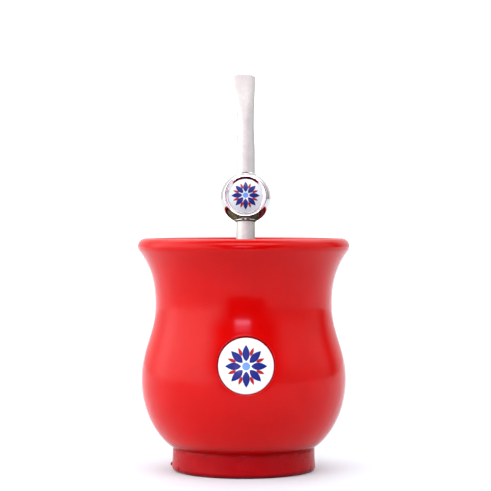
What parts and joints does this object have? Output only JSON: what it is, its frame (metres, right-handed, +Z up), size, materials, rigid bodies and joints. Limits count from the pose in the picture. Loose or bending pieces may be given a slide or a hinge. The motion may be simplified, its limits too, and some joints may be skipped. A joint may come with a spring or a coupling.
{
  "type": "mate drink in a footed cup with a metal straw",
  "caption": "Red footed mate cup with a rolled lip, filled with yerba and its drink, and a leaning metal drinking straw with a ball and a flattened mouthpiece.",
  "frame": {"origin": "centre of the foot's underside, on the surface the cup stands on", "axes": "+Z up along the cup's axis, -Y towards the front with the two round badges"},
  "size_m": [0.0888, 0.0888, 0.1675],
  "materials": {
    "lacquer": "satin red lacquer",
    "badge_white": "white disc with a printed rosette",
    "steel": "polished",
    "resin_white": "clear domed resin over white",
    "drink": "wet green infusion",
    "yerba": "dry cut leaf and stems"
  },
  "bodies": {
    "root": {"cup": "lacquer", "cup_badge": "badge_white", "drink": "drink", "yerba": "yerba", "straw": "steel", "straw_ball": "steel", "ball_badge": "resin_white"}
  },
  "joints": []
}
